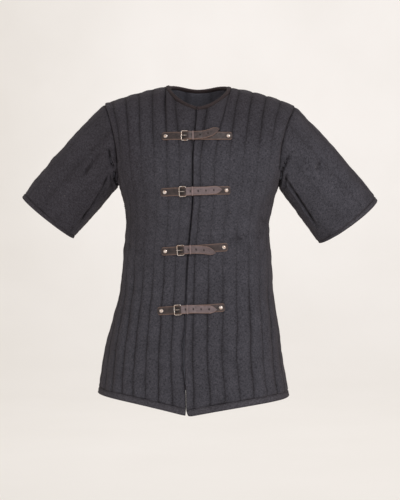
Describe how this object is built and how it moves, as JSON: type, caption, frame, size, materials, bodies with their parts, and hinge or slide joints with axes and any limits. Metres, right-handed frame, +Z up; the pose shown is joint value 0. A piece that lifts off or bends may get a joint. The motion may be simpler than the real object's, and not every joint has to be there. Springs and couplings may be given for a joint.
{
  "type": "gambeson",
  "caption": "Short-sleeved padded jacket quilted in upright channels, closed down the front by buckled leather straps, hollow as worn.",
  "frame": {"origin": "middle of the base of the neck, level with the neck point of the right shoulder seam, where the wearer's shoulders carry the garment", "axes": "+Z up, the front faces -Y, the wearer's left is +X"},
  "size_m": [0.91, 0.335, 0.8218],
  "materials": {
    "quilted_cloth": "charcoal heathered canvas, padded and quilted in upright channels",
    "binding_cloth": "brown-black plain tape and turned hem bands",
    "strap_leather": "dark brown oiled leather, burnished lighter at the edges",
    "buckle_metal": "nickel with a warm, slightly tarnished tint",
    "rivet_metal": "domed heads, nickel with coppery edges"
  },
  "bodies": {
    "root": {"front_right": "quilted_cloth", "front_left": "quilted_cloth", "back": "quilted_cloth", "sleeve_right": "quilted_cloth", "sleeve_left": "quilted_cloth", "neck_binding": "binding_cloth", "hem_band": "binding_cloth", "cuff_band_right": "binding_cloth", "cuff_band_left": "binding_cloth", "tongue_1": "strap_leather", "chape_1": "strap_leather", "keeper_1": "strap_leather", "buckle_1": "buckle_metal", "prong_1": "buckle_metal", "rivet_right_1": "rivet_metal", "rivet_left_1": "rivet_metal", "tongue_2": "strap_leather", "chape_2": "strap_leather", "keeper_2": "strap_leather", "buckle_2": "buckle_metal", "prong_2": "buckle_metal", "rivet_right_2": "rivet_metal", "rivet_left_2": "rivet_metal", "tongue_3": "strap_leather", "chape_3": "strap_leather", "keeper_3": "strap_leather", "buckle_3": "buckle_metal", "prong_3": "buckle_metal", "rivet_right_3": "rivet_metal", "rivet_left_3": "rivet_metal", "tongue_4": "strap_leather", "chape_4": "strap_leather", "keeper_4": "strap_leather", "buckle_4": "buckle_metal", "prong_4": "buckle_metal", "rivet_right_4": "rivet_metal", "rivet_left_4": "rivet_metal"}
  },
  "joints": []
}
